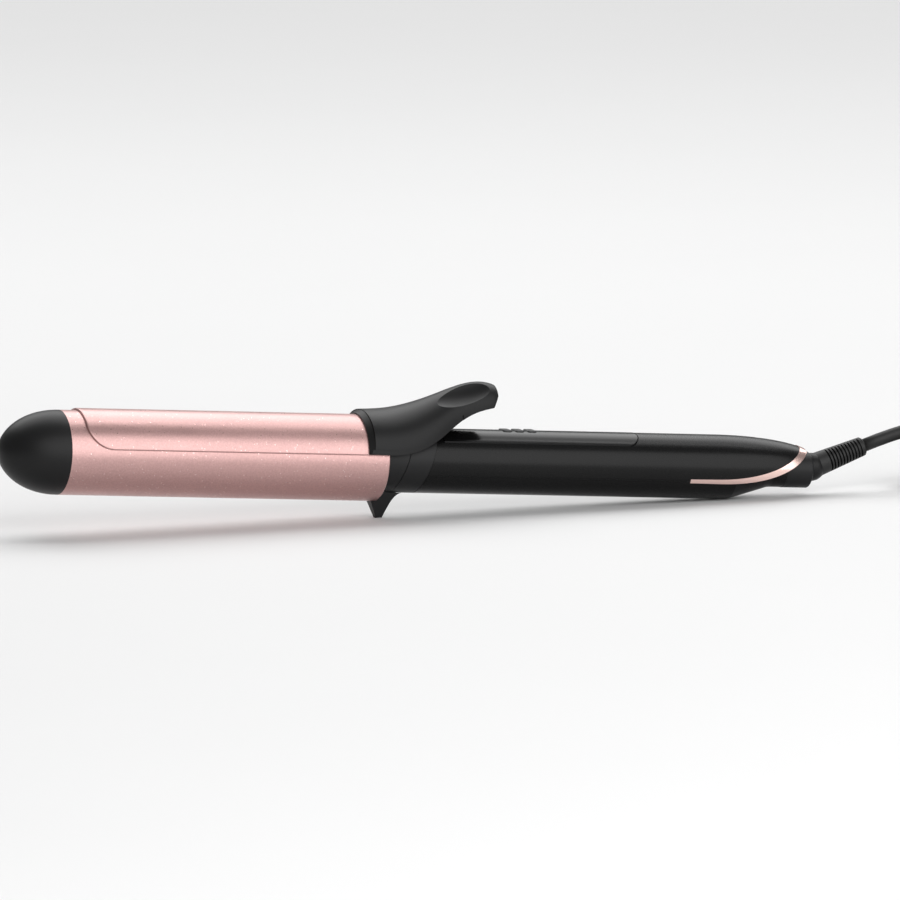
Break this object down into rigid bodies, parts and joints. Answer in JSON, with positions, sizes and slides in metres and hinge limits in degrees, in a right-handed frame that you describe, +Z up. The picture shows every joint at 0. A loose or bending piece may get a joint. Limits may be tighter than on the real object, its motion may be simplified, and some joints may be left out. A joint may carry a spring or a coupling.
{
  "type": "curling iron",
  "caption": "Curling iron with a wide coated barrel, spring clamp with thumb lever, foot, button handle and swivel cord.",
  "frame": {"origin": "on the table under the middle of the iron's box, without its cord", "axes": "+X from the tip towards the cord, along the table; +Z up; the iron leans 3.9 degrees, tip up"},
  "size_m": [0.6823, 0.054, 0.0593],
  "materials": {
    "black_satin": "satin moulded",
    "black_gloss": "gloss moulded",
    "grey_plastic": "fine moulded",
    "rose_coating": "ceramic coating with fine glitter",
    "rose_gold": "polished rose gold",
    "heat_plastic": "glass-filled heat-proof moulding",
    "aluminium": "extruded",
    "steel": "plain",
    "brass": "plain",
    "film": "polyimide film",
    "sleeving": "silicone and glass sleeving",
    "board": "glass-epoxy laminate",
    "component": "epoxy case",
    "capacitor_case": "film capacitor case",
    "lens": "clear acrylic",
    "cord_rubber": "satin PVC",
    "button": "satin"
  },
  "bodies": {
    "root": {"tip_cap": "black_satin", "tip_screw": "steel", "front_disc": "heat_plastic", "barrel_tube": "rose_coating", "heater_shoe_upper": "aluminium", "heater_shoe_lower": "aluminium", "heater_element": "film", "shoe_spring": "steel", "thermal_fuse": "steel", "temperature_sensor": "film", "heater_leads": "sleeving", "rear_seat": "heat_plastic", "stand_collar": "grey_plastic", "neck_ring": "grey_plastic", "hinge_bracket": "steel", "hinge_pin": "steel", "clamp_spring": "steel", "handle_upper": "black_gloss", "handle_lower": "black_gloss", "handle_screws": "steel", "trim_band": "rose_gold", "control_panel": "black_gloss", "light_guide": "lens", "circuit_board": "board", "tact_switches": "component", "controller_chip": "component", "light_sources": "lens", "triac": "component", "heat_sink": "aluminium", "capacitor": "capacitor_case", "tail_socket": "grey_plastic", "contact_brushes": "brass", "supply_leads": "sleeving", "cord_lead": "cord_rubber", "cord_hank": "cord_rubber", "hank_tie": "black_satin", "cord_tail": "cord_rubber", "plug_body": "black_satin", "plug_pins": "brass"},
    "clamp": {"clamp_plate": "rose_coating", "thumb_lever": "black_satin", "clamp_rivets": "steel"},
    "minus_button": {"minus_button": "button"},
    "plus_button": {"plus_button": "button"},
    "power_button": {"power_button": "button"},
    "swivel": {"swivel_head": "black_satin", "contact_rings": "brass", "strain_relief": "cord_rubber"}
  },
  "joints": [
    {"name": "clamp_pivot", "type": "hinge", "parent": "root", "child": "clamp", "pos_m": [-0.02394, 0, 0.04307], "axis": [0, 1, 0], "range_deg": [0, 12], "stiffness_Nm_per_rad": 0.6, "springref_deg": -14.32, "deforming": ["clamp_spring"]},
    {"name": "minus_press", "type": "slide", "parent": "root", "child": "minus_button", "axis": [-0.0679, 0, -0.9977], "range_m": [0, 0.0006], "stiffness_N_per_m": 400, "springref_m": -0.0004},
    {"name": "plus_press", "type": "slide", "parent": "root", "child": "plus_button", "axis": [-0.0679, 0, -0.9977], "range_m": [0, 0.0006], "stiffness_N_per_m": 400, "springref_m": -0.0004},
    {"name": "power_press", "type": "slide", "parent": "root", "child": "power_button", "axis": [-0.0679, 0, -0.9977], "range_m": [0, 0.0006], "stiffness_N_per_m": 400, "springref_m": -0.0004},
    {"name": "cord_swivel", "type": "hinge", "parent": "root", "child": "swivel", "pos_m": [0.17539, 0, 0.01176], "axis": [0.9977, 0, -0.0679], "continuous": true, "deforming": ["cord_lead"]}
  ]
}
